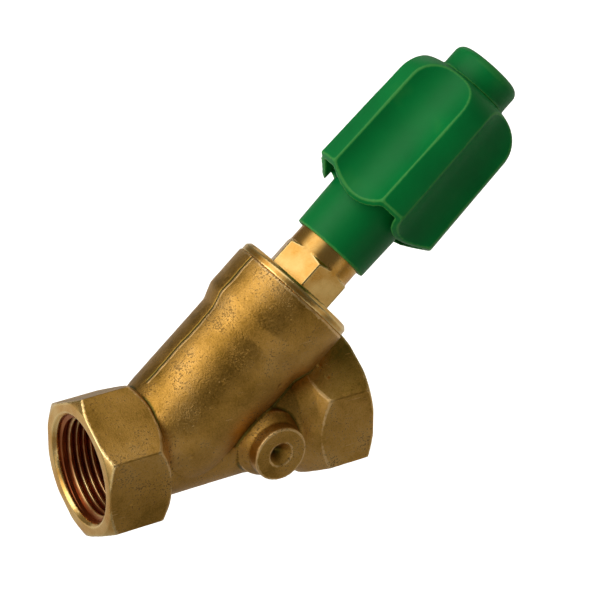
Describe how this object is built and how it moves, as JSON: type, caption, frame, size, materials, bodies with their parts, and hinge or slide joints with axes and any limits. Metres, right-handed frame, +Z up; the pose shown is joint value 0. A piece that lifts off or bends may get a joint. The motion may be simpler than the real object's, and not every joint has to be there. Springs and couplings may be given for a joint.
{
  "type": "angle seat valve",
  "caption": "Screwed Y-pattern shut-off valve with a leaning branch, swivelling disc on a rising stem and a fluted plastic handwheel; threaded female ends with spanner hexagons.",
  "frame": {"origin": "centre of the inlet thread's mouth, where its countersink meets the thread, 1 mm inside the inlet end face", "axes": "+X along the pipe run from inlet to outlet; +Z up, the branch and handwheel lean from the run towards +X in the XZ plane; +Y to the back, the blank side boss faces -Y"},
  "size_m": [0.1479, 0.0455, 0.1294],
  "materials": {
    "cast_bronze": "sand-cast and blasted bronze, satin",
    "machined_brass": "turned and milled, bright",
    "packing_rubber": "moulded, matt",
    "seal_rubber": "moulded, matt",
    "stainless": "turned, satin",
    "green_plastic": "moulded, semi-matt"
  },
  "bodies": {
    "root": {"valve_body": "cast_bronze", "bonnet": "machined_brass", "bonnet_seal_ring": "packing_rubber", "packing_washer": "machined_brass", "packing_ring_1": "packing_rubber", "packing_ring_2": "packing_rubber", "packing_ring_3": "packing_rubber", "packing_follower": "machined_brass", "gland_nut": "machined_brass", "stem_wiper": "packing_rubber"},
    "disc": {"disc_holder": "machined_brass", "disc_seal": "seal_rubber", "seal_retainer": "stainless", "seal_screw": "stainless", "swivel_washer": "stainless", "stem_clip": "stainless"},
    "spindle": {"stem": "machined_brass", "handwheel": "green_plastic", "handwheel_sleeve": "green_plastic", "handwheel_insert": "machined_brass", "spring_washer": "stainless", "handwheel_screw": "stainless", "handwheel_cap": "green_plastic"}
  },
  "joints": [
    {"name": "disc_lift", "type": "slide", "parent": "root", "child": "disc", "axis": [0.766, 0, 0.6428], "range_m": [0, 0.0105]},
    {"name": "stem_turn", "type": "hinge", "parent": "disc", "child": "spindle", "pos_m": [0.0238, 0, 0], "axis": [0.766, 0, 0.6428], "range_deg": [0, 1260]}
  ],
  "couplings": [
    {"joint": "disc_lift", "follows": "stem_turn", "m_per_rad": 0.00047746}
  ]
}
